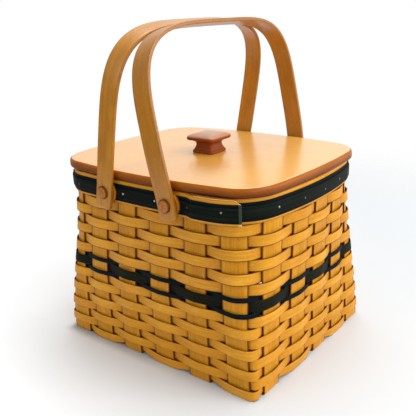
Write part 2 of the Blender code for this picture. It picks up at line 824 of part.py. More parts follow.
def make_lid():
    """Lid board, two battens below, knob and the screw that holds it."""
    board_wood = make_material("lid_maple", lid_honey, 0.28)
    knob_wood = make_material("knob_wood", knob_brown, 0.32)
    screw_steel = make_material("screw_steel", steel, 0.35, 1.0)
    seat = bpy.data.objects.new("lid_seat", None)
    part_collection.objects.link(seat)
    seat.location = (0.0, 0.0, lid_bottom)

    points = board_outline(lid_half_length, lid_half_width, lid_corner_radius, lid_bow_radius,
                           lid_bow_radius, 9)
    board = add_object("lid_board", filled_outline("lid_board", points, lid_thickness), board_wood)
    board.location = (0.0, 0.0, lid_thickness / 2)
    round_edges(board, lid_edge_round, lid_edge_segments)

    inner_face = inner_band_offset - inner_band_thickness / 2
    quarter = wall_outline(flare_height).length / 4
    end_reach = wall_point(flare_height, quarter + batten_length / 2, inner_face)[0] - batten_clearance
    down = -seat_gap - batten_thickness / 2
    battens = []
    for name, sign in (("lid_batten_left", -1), ("lid_batten_right", 1)):
        middle = sign * (end_reach - batten_width / 2)
        battens.append(make_batten(name, (middle, 0.0, down), board_wood))

    knob = loft("lid_knob", [square_ring(half, height, 3) for half, height in knob_profile()], knob_wood)
    knob.location = (0.0, 0.0, lid_thickness + seat_gap)

    reach = lid_thickness + seat_gap + knob_height * screw_reach_share
    profile = [(0.0, reach), (screw_radius * 0.5, reach), (screw_radius, reach - screw_radius),
               (screw_radius, screw_head_height), (screw_head_radius, 0.0), (0.0, 0.0)]
    screw = turned("knob_screw", profile, 12, screw_steel)
    screw.location = (0.0, 0.0, 0.0)
    bore_profile = [(0.0, reach + hole_gap), (screw_radius + hole_gap, reach + hole_gap),
                    (screw_radius + hole_gap, screw_head_height + hole_gap),
                    (screw_head_radius + hole_gap, hole_gap),
                    (screw_head_radius + hole_gap, -cut_overrun), (0.0, -cut_overrun)]
    bore = turned("screw_bore", bore_profile, 12, screw_steel)
    part_collection.objects.unlink(bore)
    cutter_collection.objects.link(bore)
    bore.hide_render = True
    bore.display_type = "WIRE"
    for thing in (board, *battens, knob, screw, bore):
        thing.parent = seat
    cut(board, bore)
    cut(knob, bore)


part_collection, cutter_collection = start_clean()

# Faces that the ears, legs and pegs line up with, all measured at the pivots
ear_back = -wall_point(pivot_height, pivot_offset, rim_face_offset + seat_gap)[1]
ear_face = ear_back + ear_thickness
leg_back = ear_face + seat_gap
leg_face = leg_back + strap_thickness
# The lean at which the two straps' top edges almost meet over the middle
strap_diagonal = math.hypot(handle_rise, strap_width / 2)
handle_lean = (math.asin((pivot_offset - seat_gap / 2) / strap_diagonal)
               - math.atan2(strap_width / 2, handle_rise))
rim_face_places = np.linspace(0.0, wall_outline(pivot_height).length, 73)[:-1]
rim_face_outline = [wall_outline(pivot_height).at(walked, rim_face_offset + seat_gap)
                    for walked in rim_face_places]

pivot_bores = make_pivot_bores()
make_uprights()
make_weavers()
make_rim()
make_ears()
make_pegs()
make_handles()
make_lid()
bpy.context.view_layer.update()
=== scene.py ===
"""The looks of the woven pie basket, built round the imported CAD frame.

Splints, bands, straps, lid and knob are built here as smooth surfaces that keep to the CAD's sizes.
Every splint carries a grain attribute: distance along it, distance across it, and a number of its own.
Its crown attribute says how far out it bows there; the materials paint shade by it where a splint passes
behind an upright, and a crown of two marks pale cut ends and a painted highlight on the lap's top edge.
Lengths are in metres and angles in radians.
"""

import json
import math

import bpy
import bmesh
import numpy as np
from mathutils import Matrix, Vector


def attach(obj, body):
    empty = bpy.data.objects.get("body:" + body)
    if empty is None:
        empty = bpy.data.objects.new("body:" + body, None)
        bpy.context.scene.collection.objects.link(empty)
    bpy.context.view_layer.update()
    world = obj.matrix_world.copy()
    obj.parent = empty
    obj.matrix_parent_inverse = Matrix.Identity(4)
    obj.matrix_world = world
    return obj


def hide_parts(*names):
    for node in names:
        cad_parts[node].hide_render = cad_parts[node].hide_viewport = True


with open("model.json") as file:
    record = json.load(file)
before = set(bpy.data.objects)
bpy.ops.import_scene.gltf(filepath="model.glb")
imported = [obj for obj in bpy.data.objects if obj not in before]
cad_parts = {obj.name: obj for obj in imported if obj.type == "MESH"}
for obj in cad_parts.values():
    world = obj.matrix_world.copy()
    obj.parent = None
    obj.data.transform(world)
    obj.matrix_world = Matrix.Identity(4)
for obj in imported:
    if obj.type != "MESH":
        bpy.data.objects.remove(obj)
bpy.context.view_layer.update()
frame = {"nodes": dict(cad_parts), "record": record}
cad_nodes = frame["nodes"]
chance = np.random.default_rng(7)

# Wall runs of the uprights are counted from the front left: front, right, back and left
front_count, side_count = 6, 5
half_count = front_count + side_count
run_count = 2 * half_count

# Sizes as in the CAD, but for the uprights' lowest places, the walls' foot and the handles' bends
wall_sizes = dict(base_length=0.1468, base_width=0.1219, base_corner=0.0055,
                  rim_length=0.1479, rim_width=0.1222, rim_corner=0.0500,
                  rim_end_bow=0.435, rim_side_bow=1.270, straight_bow=60.0)
corner_opens, corner_opened = 0.10, 0.97
front_upright_width, side_upright_width, upright_thickness = 0.02880, 0.02916, 0.0014
weaver_thickness = 0.0012
lower_width, upper_width, accent_width, narrow_width = 0.0108, 0.0122, 0.0114, 0.0045
lower_count, upper_count = 8, 6
row_gap = 0.0006
seat_gap = 0.0003
weave_bottom = 0.0013
upright_top = 0.2165
front_back_base = (-0.1265, -0.0828, -0.0335, 0.0200, 0.0720, 0.1262)
side_side_base = (-0.0915, -0.0350, 0.0145, 0.0605, 0.1015)
# Places of the front, right, back and left wall's uprights: at the base, at middle_height and at the rim
wall_places = (
    (front_back_base, (-0.1250, -0.0830, -0.0340, 0.0185, 0.0705, 0.1205),
     (-0.1165, -0.0705, -0.0230, 0.0255, 0.0735, 0.1180)),
    (side_side_base, (-0.0850, -0.0370, 0.0080, 0.0540, 0.0970),
     (-0.0765, -0.0290, 0.0130, 0.0550, 0.0970)),
    (front_back_base, (-0.1220, -0.0780, -0.0330, 0.0160, 0.0650, 0.1120),
     (-0.1170, -0.0710, -0.0250, 0.0210, 0.0665, 0.1095)),
    (side_side_base, (-0.0850, -0.0400, 0.0050, 0.0490, 0.0920),
     (-0.0840, -0.0420, 0.0, 0.0420, 0.0840)))
middle_height = 0.0950
rim_height = 0.1942
band_bottom, band_top = 0.1912, 0.2181
trim_bottom, trim_top = 0.1942, 0.2142
strip_bottom, strip_top = 0.19795, 0.21045
band_start, band_end = 0.0780, 0.1260
pivot_offset, pivot_height = 0.046701, 0.2042
lid_bottom, lid_thickness = 0.2184, 0.0108
lid_half_length, lid_half_width, lid_corner, lid_bow = 0.1524, 0.1273, 0.0459, 0.762
leg_face = 0.13474
strap_width, strap_thickness, handle_rise = 0.0234, 0.0044, 0.1826
# How far the near and the far leg bow out, with their shoulders' powers, then the drop of the top
handle_bends = {"handle_left": ((0.0008, 3.90), (0.0008, 4.15), 0.0),
                "handle_right": ((0.0023, 3.90), (0.0037, 4.46), 0.0009)}
handle_tail = {"handle_left": 0.019, "handle_right": 0.0165}
handle_lean = (math.asin((pivot_offset - seat_gap / 2) / math.hypot(handle_rise, strap_width / 2))
               - math.atan2(strap_width / 2, handle_rise))

# Fineness of the surfaces
arc_steps = 40
splint_edge = 0.00045
middle_columns = 5


def ease(start, end, share):
    share = np.clip(share, 0.0, 1.0)
    return start + (end - start) * share * share * (3 - 2 * share)


def blend(start, end, share):
    return start + (end - start) * share


def distances(points):
    """How far along a line of points each one lies."""
    return np.concatenate([[0.0], np.cumsum(np.linalg.norm(np.diff(points, axis=0), axis=1))])


def add_object(name, data):
    thing = bpy.data.objects.new(name, data)
    bpy.context.scene.collection.objects.link(thing)
    return thing


def add_attribute(mesh, name, kind, values):
    """A value or a vector for each point of a mesh."""
    layer = mesh.attributes.new(name, kind, "POINT")
    key = "vector" if kind == "FLOAT_VECTOR" else "value"
    layer.data.foreach_set(key, np.asarray(values, np.float32).ravel())


class Outline:
    """A rectangle with bowed sides and round corners, walked by distance from the front middle."""

    def __init__(self, half_length, half_width, corner, end_bow, side_bow):
        end_centre = np.array([half_length - end_bow, 0.0])
        side_centre = np.array([0.0, half_width - side_bow])
        end_reach, side_reach = end_bow - corner, side_bow - corner
        between = side_centre - end_centre
        apart = np.linalg.norm(between)
        along = (end_reach ** 2 - side_reach ** 2 + apart ** 2) / (2 * apart)
        across = math.sqrt(max(end_reach ** 2 - along ** 2, 0.0))
        unit = between / apart
        middle = end_centre + unit * along
        normal = np.array([unit[1], -unit[0]])
        centre = max(middle + normal * across, middle - normal * across, key=sum)
        end_turn = math.atan2(*(centre - end_centre)[::-1])
        side_turn = math.atan2(*(centre - side_centre)[::-1])
        points, rays = [], []
        for origin, radius, start, stop in ((end_centre, end_bow, 0.0, end_turn),
                                            (centre, corner, end_turn, side_turn),
                                            (side_centre, side_bow, side_turn, math.pi / 2)):
            turn = np.linspace(start, stop, arc_steps)
            ray = np.stack([np.cos(turn), np.sin(turn)], 1)
            points.append(origin + radius * ray)
            rays.append(ray)
        quarter, outward = np.vstack(points), np.vstack(rays)
        order = ((1, -1, -1), (1, 1, 1), (-1, 1, -1), (-1, -1, 1))
        self.points = np.vstack([quarter[::step] * (x, y) for x, y, step in order])
        self.rays = np.vstack([outward[::step] * (x, y) for x, y, step in order])
        self.walk = distances(self.points)
        self.length = self.walk[-1]

    def at(self, walked, out=0.0):
        """Points at distances round the outline, pushed out along its normals."""
        walked = np.asarray(walked) % self.length
        point = np.stack([np.interp(walked, self.walk, self.points[:, k]) for k in (0, 1)], -1)
        ray = np.stack([np.interp(walked, self.walk, self.rays[:, k]) for k in (0, 1)], -1)
        ray /= np.linalg.norm(ray, axis=-1, keepdims=True)
        return point + ray * np.asarray(out)[..., None]


outlines = {}


def wall(height):
    """The mid-plane outline of the uprights at a height above the base."""
    key = round(float(height) * 1e6)
    if key not in outlines:
        share = min(max(height / rim_height, 0.0), 1.0)
        opened = (share - corner_opens) / (corner_opened - corner_opens)
        size = wall_sizes
        flat = 1 / size["straight_bow"]
        outlines[key] = Outline(blend(size["base_length"], size["rim_length"], share),
                                blend(size["base_width"], size["rim_width"], share),
                                float(ease(size["base_corner"], size["rim_corner"], opened)),
                                1 / max(share / size["rim_end_bow"], flat),
                                1 / max(share / size["rim_side_bow"], flat))
    return outlines[key]


def wall_points(height, walked, out):
    """Points on the wall at one height, for many places round it."""
    flat = wall(height).at(walked, out)
    return np.concatenate([flat, np.full(flat.shape[:-1] + (1,), float(height))], -1)


def upright_place(number, height):
    """Distance round the wall of the centre line of an upright's wall run."""
    half, index = divmod(number, half_count)
    sideways = index >= front_count
    tables = wall_places[2 * half + sideways]
    index -= front_count * sideways
    if half:
        index = -1 - index
    place = np.interp(height, (0.0, middle_height, rim_height), [table[index] for table in tables])
    return wall(height).length / 4 * (2 * half + sideways) + (-place if half else place)


def upright_half(number):
    """Half the width of the upright in a wall run."""
    return (front_upright_width if number % half_count < front_count else side_upright_width) / 2


def add_piece(name, points, faces, grain, body, slot, nodes, crown=None):
    """Makes a smooth mesh piece of a slot's material that rides a body and stands for its CAD nodes."""
    mesh = bpy.data.meshes.new(name)
    mesh.from_pydata(np.asarray(points).tolist(), [], faces)
    mesh.validate()
    shape = bmesh.new()
    shape.from_mesh(mesh)
    bmesh.ops.recalc_face_normals(shape, faces=shape.faces)
    shape.to_mesh(mesh)
    shape.free()
    if grain is not None:
        add_attribute(mesh, "grain", "FLOAT_VECTOR", grain)
        add_attribute(mesh, "crown", "FLOAT", np.ones(len(mesh.vertices)) if crown is None else crown)
    mesh.polygons.foreach_set("use_smooth", [True] * len(mesh.polygons))
    thing = add_object(name, mesh)
    mesh.materials.append(materials[slot])
    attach(thing, body)
    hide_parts(*nodes)
    return thing


def grid_faces(rows, columns):
    """Quads of a grid of points whose last column joins its first."""
    faces = []
    for i in range(rows - 1):
        for j in range(columns):
            after = (j + 1) % columns
            low, high = i * columns, (i + 1) * columns
            faces.append((low + j, low + after, high + after, high + j))
    return faces


def stack_faces(rows, columns):
    """That grid's quads, and a face over each end."""
    count = rows * columns
    return [*grid_faces(rows, columns), tuple(range(columns))[::-1],
            tuple(range(count - columns, count))]


def edge_profile(width, thickness, edge, steps=3):
    """Places across a splint and its half thickness there, with rounded long edges."""
    turn = np.linspace(0.0, math.pi / 2, steps + 1)
    side = width / 2 - edge + edge * np.cos(turn)
    half = thickness / 2 - edge + edge * np.sin(turn)
    middle = np.linspace(-1, 1, middle_columns + 2)[1:-1] * (width / 2 - edge)
    across = np.concatenate([-side, middle, side[::-1]])
    halves = np.concatenate([half, np.full(middle_columns, thickness / 2), half[::-1]])
    return across, halves


def splint(name, surface, across, halves, body, slot, nodes, seed, crown=None, inner_crown=None):
    """A thin solid round a mid-surface of points: rows go along it, columns go across it."""
    surface = np.asarray(surface, float)
    rows, columns = surface.shape[:2]
    along_step = np.gradient(surface, axis=0)
    across_step = np.gradient(surface, axis=1)
    normal = np.cross(along_step, across_step)
    normal /= np.linalg.norm(normal, axis=-1, keepdims=True)
    push = normal * np.asarray(halves)[None, :, None]
    upper, lower = surface + push, surface - push
    loops = np.concatenate([upper, lower[:, ::-1]], axis=1)
    around = 2 * columns
    walked = distances(surface[:, columns // 2])
    places = np.concatenate([across, np.asarray(across)[::-1]])
    grain = np.stack([np.repeat(walked, around), np.tile(places, rows), np.full(rows * around, seed)], 1)
    faces = grid_faces(rows, around)
    for i, flip in ((0, 1), (rows - 1, -1)):
        start = i * around
        for j in range(columns - 1):
            other = around - 1 - j
            faces.append((start + j, start + j + 1, start + other - 1, start + other)[::flip])
    if crown is not None:
        outer = np.broadcast_to(np.reshape(crown, (rows, -1)), (rows, columns))
        inner = outer if inner_crown is None else np.broadcast_to(inner_crown[:, None], (rows, columns))
        crown = np.concatenate([outer, inner[:, ::-1]], axis=1).ravel()
    return add_piece(name, loops.reshape(-1, 3), faces, grain, body, slot, nodes, crown)


class Socket:
    """One output in a node tree. Arithmetic on it adds the nodes."""

    def __init__(self, graph, output):
        self.graph = graph
        self.output = output

    def math(self, operation, *others):
        return self.graph.add("ShaderNodeMath", (self, *others), operation=operation)

    def __add__(self, other):
        return self.math("ADD", other)

    def __sub__(self, other):
        return self.math("SUBTRACT", other)

    def __mul__(self, other):
        return self.math("MULTIPLY", other)

    def scaled(self, *factors):
        """This vector multiplied, by one factor or by one for each part."""
        factors *= 3 // len(factors)
        return self.graph.add("ShaderNodeVectorMath", (self, factors), operation="MULTIPLY")

    def shifted(self, other):
        return self.graph.add("ShaderNodeVectorMath", (self, other), operation="ADD")

    def part(self, index):
        """X, Y or Z of this vector."""
        return self.graph.add("ShaderNodeSeparateXYZ", (self,), output=index)

    def band(self, low, high, start=0.0, end=1.0):
        """This value's place between low and high, eased, as a value from start to end."""
        return self.graph.add("ShaderNodeMapRange", (self, low, high, start, end),
                              interpolation_type="SMOOTHSTEP")

    def noise(self, detail=3.0, roughness=0.5, distortion=0.0):
        return self.graph.add("ShaderNodeTexNoise", {"Vector": self, "Scale": 1.0, "Detail": detail,
                                                     "Roughness": roughness, "Distortion": distortion})

    def cells(self):
        """Distance to the nearest of many scattered points."""
        return self.graph.add("ShaderNodeTexVoronoi", {"Vector": self, "Scale": 1.0})


class Graph:
    """A node tree whose nodes are added one by one."""

    def __init__(self, tree):
        self.tree = tree

    def plug(self, socket, value):
        if isinstance(value, Socket):
            self.tree.links.new(value.output, socket)
        elif socket.type == "RGBA":
            socket.default_value = (*value, 1.0)
        else:
            socket.default_value = value

    def add(self, kind, inputs=(), output=0, **settings):
        node = self.tree.nodes.new(kind)
        for key, value in settings.items():
            setattr(node, key, value)
        pairs = inputs.items() if isinstance(inputs, dict) else enumerate(inputs)
        for key, value in pairs:
            self.plug(node.inputs[key], value)
        return Socket(self, node.outputs[output])

    def mix(self, share, first, second):
        """Two colours mixed by a share."""
        return self.add("ShaderNodeMix", {0: share, 6: first, 7: second}, output=2, data_type="RGBA")


class Surface(Graph):
    """A material: its nodes, and the shader that they feed."""

    def __init__(self, name):
        self.material = bpy.data.materials.new(name)
        self.material.use_nodes = True
        super().__init__(self.material.node_tree)
        self.shader = self.tree.nodes["Principled BSDF"]

    def grain(self):
        return self.add("ShaderNodeAttribute", output="Vector", attribute_name="grain")

    def crown(self):
        """How far out a splint bows: one on the crown, nothing in the dip behind an upright."""
        return self.add("ShaderNodeAttribute", output="Fac", attribute_name="crown")

    def place(self):
        return self.add("ShaderNodeTexCoord", output="Object")

    def bump(self, height, strength, distance):
        return self.add("ShaderNodeBump", {"Height": height, "Strength": strength, "Distance": distance})

    def finish(self, colour, roughness, bump=None, coat=None, **fixed):
        """Plugs in the surface and gives back the material."""
        self.plug(self.shader.inputs["Base Color"], colour)
        self.plug(self.shader.inputs["Roughness"], roughness)
        if bump is not None:
            self.plug(self.shader.inputs["Normal"], bump)
        if coat is not None:
            self.plug(self.shader.inputs["Coat Weight"], coat)
            self.shader.inputs["Coat Roughness"].default_value = coat_roughness
        for key, value in fixed.items():
            self.shader.inputs[key.replace("_", " ")].default_value = value
        return self.material


# Colours that more than one finish or line uses; a crown of two marks a bare cut end, and also the top edge
# of the outer band's lap, which gets the same pale colour as a painted highlight
coat_roughness = 0.22
cut_end_and_highlight = (0.72, 0.43, 0.19)
cut_and_highlight_crown = 2.0
cut_and_highlight_marked = (1.3, 1.7)
# The dark of pores, and of the painted shade on splint edges and where splints pass behind uprights
honey_dark = (0.100, 0.015, 0.001)
# Painted shade where a dyed splint passes behind an upright
dye_painted_shade = (0.002, 0.002, 0.002)
dye_cut_end = (0.050, 0.058, 0.044)
grain_stretch = 0.06
# Painted glare on the knob's top
painted_glare = (0.64, 0.33, 0.19)
# Painted shade round a peg head's rim
peg_rim_painted_shade = (0.07, 0.016, 0.003)
metal_spot = (0.10, 0.07, 0.05)
metal_tarnish = (0.045, 0.032, 0.024)


def splint_material(name, light, deep, dark, half_width, rough=0.46, coat=0.08, line_scale=1.0,
                    edging=0.92, lift=0.10):
    """Varnished ash splint: fine fibres along it, broken growth lines, pores and pale cut ends; painted
    shade darkens its long edges and where it passes behind the uprights, and a painted highlight lightens a
    marked top edge.

    Scales are cycles a metre along the splint and across it, and then from one splint to the next.
    """
    graph = Surface(name)
    grain = graph.grain()
    seed = grain.part(2)
    own = graph.add("ShaderNodeTexWhiteNoise", {"W": seed}, noise_dimensions="1D")
    shifted = grain.shifted(graph.add("ShaderNodeCombineXYZ", (seed * 0.37, seed * 0.113, 0.0)))
    fibres = shifted.scaled(60.0, 1500.0 * line_scale, 3.1).noise(4.0, 0.62)
    lines = shifted.scaled(9.0, 330.0 * line_scale, 5.3).noise(3.0, 0.55, 0.6)
    clouds = shifted.scaled(30.0, 60.0, 7.7).noise(2.0, 0.5)
    mottle = shifted.scaled(260.0, 420.0, 1.9).noise(3.0, 0.6)
    pores = shifted.scaled(150.0, 2600.0, 11.0).cells()
    tone = fibres.band(0.35, 0.70) * 0.40 + lines.band(0.38, 0.64) * 0.35 + mottle.band(0.35, 0.68) * 0.25
    colour = graph.mix(tone, light, deep)
    colour = graph.mix(clouds.band(0.38, 0.72, 0.0, 0.55), colour, deep)
    colour = graph.mix(own.band(0.0, 1.0, 0.0, 0.45), colour, deep)
    # Painted shade: darker towards where the splint passes behind an upright, on either face
    colour = graph.mix(graph.crown().band(0.40, 1.00, 0.55, 0.0), colour, deep)
    pale = tuple(blend(part, 1.0, 0.10) for part in light)
    colour = graph.mix(mottle.band(0.50, 0.70) * fibres.band(0.45, 0.65) * 0.55, colour, pale)
    pore = pores.band(0.10, 0.30, 1.0, 0.0) * lines.band(0.45, 0.62)
    colour = graph.mix(pore * 0.50, colour, dark)
    # Painted shade: dark long edges stand for the shadow lines between the rows, and dark dips for the gap
    # beside each upright
    edge = grain.part(1).math("ABSOLUTE").band(half_width * 0.84, half_width * 0.98)
    dip = graph.crown().band(0.12, 0.34, 1.0, 0.0)
    colour = graph.mix(edge.math("MAXIMUM", dip) * edging, colour, dark)
    # Pale cut ends; the same pale colour on the lap's top edge is a painted highlight
    colour = graph.mix(graph.crown().band(*cut_and_highlight_marked), colour, cut_end_and_highlight)
    height = fibres * 0.45 + lines * 0.35 + mottle * 0.2 - pore * 0.6
    bump = graph.bump(height, 0.45, 0.0004)
    rougher = fibres.band(0.3, 0.8, rough - 0.05, rough + 0.12) + pore * 0.15
    return graph.finish(colour, rougher, bump, clouds.band(0.2, 0.8, coat * 0.7, coat),
                        Specular_IOR_Level=lift)


def dyed_material(name, colour_a, colour_b, worn, half_width):
    """Dark dyed splint: the dye lies unevenly over the fibres and is rubbed on the edges; painted shade
    darkens it where it passes behind the uprights.
    """
    graph = Surface(name)
    grain = graph.grain()
    fibres = grain.scaled(40.0, 1300.0, 3.7).noise(4.0, 0.65)
    lines = grain.scaled(6.0, 300.0, 4.9).noise(3.0, 0.55, 0.5)
    clouds = grain.scaled(28.0, 50.0, 2.3).noise(3.0, 0.55)
    colour = graph.mix(lines.band(0.36, 0.66), colour_a, colour_b)
    colour = graph.mix(fibres.band(0.52, 0.82, 0.0, 0.30), colour, worn)
    edge = grain.part(1).math("ABSOLUTE").band(half_width * 0.90, half_width * 1.0)
    rub = edge * clouds.band(0.40, 0.62)
    colour = graph.mix(rub * 0.40, colour, worn)
    # Painted shade where the splint passes behind an upright
    colour = graph.mix(graph.crown().band(0.02, 0.50, 0.55, 0.0), colour, dye_painted_shade)
    colour = graph.mix(graph.crown().band(*cut_and_highlight_marked, 0.0, 0.8), colour, dye_cut_end)
    bump = graph.bump(fibres * 0.6 + lines * 0.4, 0.50, 0.0004)
    return graph.finish(colour, fibres.band(0.3, 0.8, 0.42, 0.60), bump, clouds.band(0.2, 0.8, 0.0, 0.02),
                        Specular_IOR_Level=0.03)


def board_material(name, light, deep, line, along, gloss, coat, scale=1.0, pore_share=0.35, lift=0.5,
                   ring_share=0.40, painted_shade_heights=None, painted_glare_heights=None):
    """Solid varnished wood: cathedral growth lines, fine fibres and pores run along one axis; painted shade
    can darken it towards the bottom of one range of heights, and a painted glare lighten the top of
    another.
    """
    graph = Surface(name)
    place = graph.place()
    stretch = [1.0, 1.0, 1.0]
    stretch[along] = grain_stretch
    drawn = place.scaled(*[part * scale for part in stretch])
    wander = drawn.scaled(9.0).noise(3.0, 0.5)
    rings = (drawn.part((along + 1) % 3) * 150.0 + drawn.part((along + 2) % 3) * 60.0 + wander * 7.0)
    ring = rings.math("FRACT").math("SUBTRACT", 0.5).math("ABSOLUTE").band(0.06, 0.44)
    fibres = drawn.scaled(1500.0).noise(3.0, 0.6)
    flecks = drawn.scaled(520.0).cells()
    clouds = place.scaled(14.0).noise(3.0, 0.55, 0.4)
    colour = graph.mix(ring * ring_share + fibres.band(0.35, 0.70) * 0.20, light, deep)
    colour = graph.mix(clouds.band(0.38, 0.72, 0.0, 0.45), colour, deep)
    fleck = flecks.band(0.06, 0.20, 1.0, 0.0) * fibres.band(0.45, 0.60)
    colour = graph.mix(fleck * pore_share, colour, line)
    shine = clouds.band(0.2, 0.8, coat * 0.85, coat)
    # Painted shade: darker towards the bottom of the given heights, on the lid's edge
    if painted_shade_heights:
        colour = graph.mix(place.part(2).band(*painted_shade_heights, 0.85, 0.0), colour, line)
    # Painted glare: the top of the given heights is lightened for the reflection on the knob's top, and the
    # coat thins below it
    if painted_glare_heights:
        top = place.part(2).band(*painted_glare_heights)
        colour = graph.mix(top * 0.62, colour, painted_glare)
        shine = shine * top.band(0.0, 1.0, 0.12, 1.0)
    bump = graph.bump(fibres * 0.6 - fleck * 0.5 + ring * 0.2, 0.10, 0.0003)
    rough = fibres.band(0.3, 0.8, gloss, gloss + 0.08) + clouds * 0.06
    return graph.finish(colour, rough, bump, shine, Specular_IOR_Level=lift)


def end_grain_material(name, light, deep):
    """Peg heads: turned wood that shows its rings and rays end on, with painted shade darkening the rim of
    each head.
    """
    graph = Surface(name)
    radius = graph.grain().part(0)
    speckle = graph.place().scaled(900.0).cells()
    clouds = graph.place().scaled(420.0).noise(4.0, 0.6)
    rings = (radius * 1700.0 + clouds * 1.6).math("FRACT").band(0.15, 0.60)
    colour = graph.mix(rings * 0.35 + clouds.band(0.42, 0.66) * 0.45, light, deep)
    colour = graph.mix(speckle.band(0.10, 0.40, 0.45, 0.0), colour, deep)
    # Painted shade round the rim of the head, where it meets the strap
    colour = graph.mix(radius.band(0.0054, 0.0072, 0.0, 0.92), colour, peg_rim_painted_shade)
    bump = graph.bump(clouds * 0.7 + rings * 0.3, 0.9, 0.0011)
    return graph.finish(colour, clouds.band(0.3, 0.7, 0.30, 0.46), bump, clouds.band(0.3, 0.7, 0.15, 0.30),
                        Specular_IOR_Level=0.15)


def metal_material(name, tint, low, high):
    """Worn metal: scuffed, with dull spots."""
    graph = Surface(name)
    place = graph.place()
    scuffs = place.scaled(900.0).noise(4.0, 0.6)
    spots = place.scaled(2200.0).cells()
    colour = graph.mix(scuffs.band(0.35, 0.70), tint, tuple(part * 0.55 for part in tint))
    colour = graph.mix(spots.band(0.05, 0.22, 0.5, 0.0), colour, metal_spot)
    tarnish = graph.add("ShaderNodeAttribute", output="Fac", attribute_name="tarnish")
    colour = graph.mix(tarnish, colour, metal_tarnish)
    bump = graph.bump(scuffs, 0.2, 0.0002)
    return graph.finish(colour, scuffs.band(0.3, 0.7, low, high), bump, None, Metallic=1.0)


materials = {
    "upright_natural": splint_material(
        "upright_splint", (0.68, 0.310, 0.016), (0.46, 0.172, 0.004), honey_dark, half_width=0.0145),
    "weaver_natural": splint_material(
        "weaver_splint", (0.80, 0.400, 0.034), (0.52, 0.200, 0.005), honey_dark, half_width=0.0060,
        coat=0.14),
    "rim_natural": splint_material(
        "rim_splint", (0.84, 0.400, 0.036), (0.62, 0.250, 0.010), honey_dark, half_width=0.01345,
        edging=0.45),
    "weaver_dark_wide": dyed_material(
        "dyed_wide_splint", (0.006, 0.007, 0.004), (0.012, 0.013, 0.007), (0.040, 0.038, 0.022),
        half_width=0.0059),
    "weaver_dark_narrow": dyed_material(
        "dyed_narrow_splint", (0.002, 0.005, 0.008), (0.004, 0.009, 0.014), (0.020, 0.028, 0.034),
        half_width=0.0025),
    "rim_trim_dark": dyed_material(
        "dyed_trim_band", (0.002, 0.005, 0.008), (0.004, 0.008, 0.011), (0.020, 0.026, 0.030),
        half_width=0.0100),
    "rim_strip_dark": dyed_material(
        "dyed_trim_strip", (0.004, 0.006, 0.005), (0.009, 0.012, 0.008), (0.036, 0.040, 0.032),
        half_width=0.00625),
    "handle_wood": splint_material(
        "handle_strap_wood", (0.60, 0.262, 0.012), (0.37, 0.130, 0.003), (0.13, 0.036, 0.002),
        half_width=strap_width / 2, rough=0.34, coat=0.60, line_scale=0.8, edging=0.40, lift=0.22),
    "ear_wood": board_material(
        "ear_wood_turned", (0.44, 0.145, 0.005), (0.28, 0.078, 0.002), (0.10, 0.03, 0.003),
        along=2, gloss=0.40, coat=0.12, lift=0.15),
    "peg_wood": end_grain_material("peg_end_grain", (0.72, 0.250, 0.026), (0.27, 0.064, 0.004)),
    "lid_maple": board_material(
        "lid_varnished_board", (0.81, 0.415, 0.062), (0.69, 0.308, 0.030), (0.38, 0.11, 0.006),
        along=0, gloss=0.28, coat=1.0, pore_share=0.25, lift=1.0),
    "knob_wood": board_material(
        "knob_varnished_wood", (0.27, 0.060, 0.005), (0.14, 0.022, 0.002), (0.05, 0.008, 0.001),
        along=0, gloss=0.22, coat=1.0, scale=1.6, pore_share=0.5, lift=0.06, painted_glare_heights=(0.2476, 0.2506)),
    "screw_steel": metal_material("screw_steel_worn", (0.60, 0.58, 0.55), low=0.28, high=0.45),
}
lid_edge_wood = board_material(
    "lid_varnished_edge", (0.36, 0.100, 0.005), (0.20, 0.040, 0.002), (0.045, 0.005, 0.001),
    along=0, gloss=0.30, coat=0.24, scale=1.4, pore_share=0.6, lift=0.06, ring_share=0.15,
    painted_shade_heights=(0.2188, 0.2268))
tack_metal = metal_material("tack_metal_worn", (0.72, 0.66, 0.58), low=0.30, high=0.50)

slots = {part["node"]: part["material_slot"] for part in frame["record"]["subparts"]}
for name, thing in cad_nodes.items():
    thing.data.materials.clear()
    thing.data.materials.append(materials[slots[name]])


def steps_between(places, counts):
    """Numbers between the given places, so many to each gap."""
    out = [np.linspace(a, b, n + 1)[:-1] for a, b, n in zip(places, places[1:], counts)]
    return np.concatenate([*out, [places[-1]]])


def smooth_curve(places, values, at):
    """A curve through the values without corners."""
    places, values = np.asarray(places, float), np.asarray(values, float)
    slopes = np.gradient(values, places)
    k = np.clip(np.searchsorted(places, at) - 1, 0, len(places) - 2)
    span = places[k + 1] - places[k]
    t = (at - places[k]) / span
    return ((2 * t ** 3 - 3 * t ** 2 + 1) * values[k] + (t ** 3 - 2 * t ** 2 + t) * span * slopes[k]
            + (3 * t ** 2 - 2 * t ** 3) * values[k + 1] + (t ** 3 - t ** 2) * span * slopes[k + 1])


# A weaver lies on or behind an upright for hold of a run to each side, and crosses over between
hold = 0.3
shoulder, shoulder_share = 0.15, 0.80
weaver_peak, peak_spread = 0.0033, 0.00016
row_spread, tilt_spread = 0.00012, 0.00010
edge_clear, foot_pull = 0.0002, 0.0005
seam_run = 13
end_steps, crossing_steps, hold_steps = 5, 6, 9
row_drift = chance.normal(0.0, row_spread, run_count)


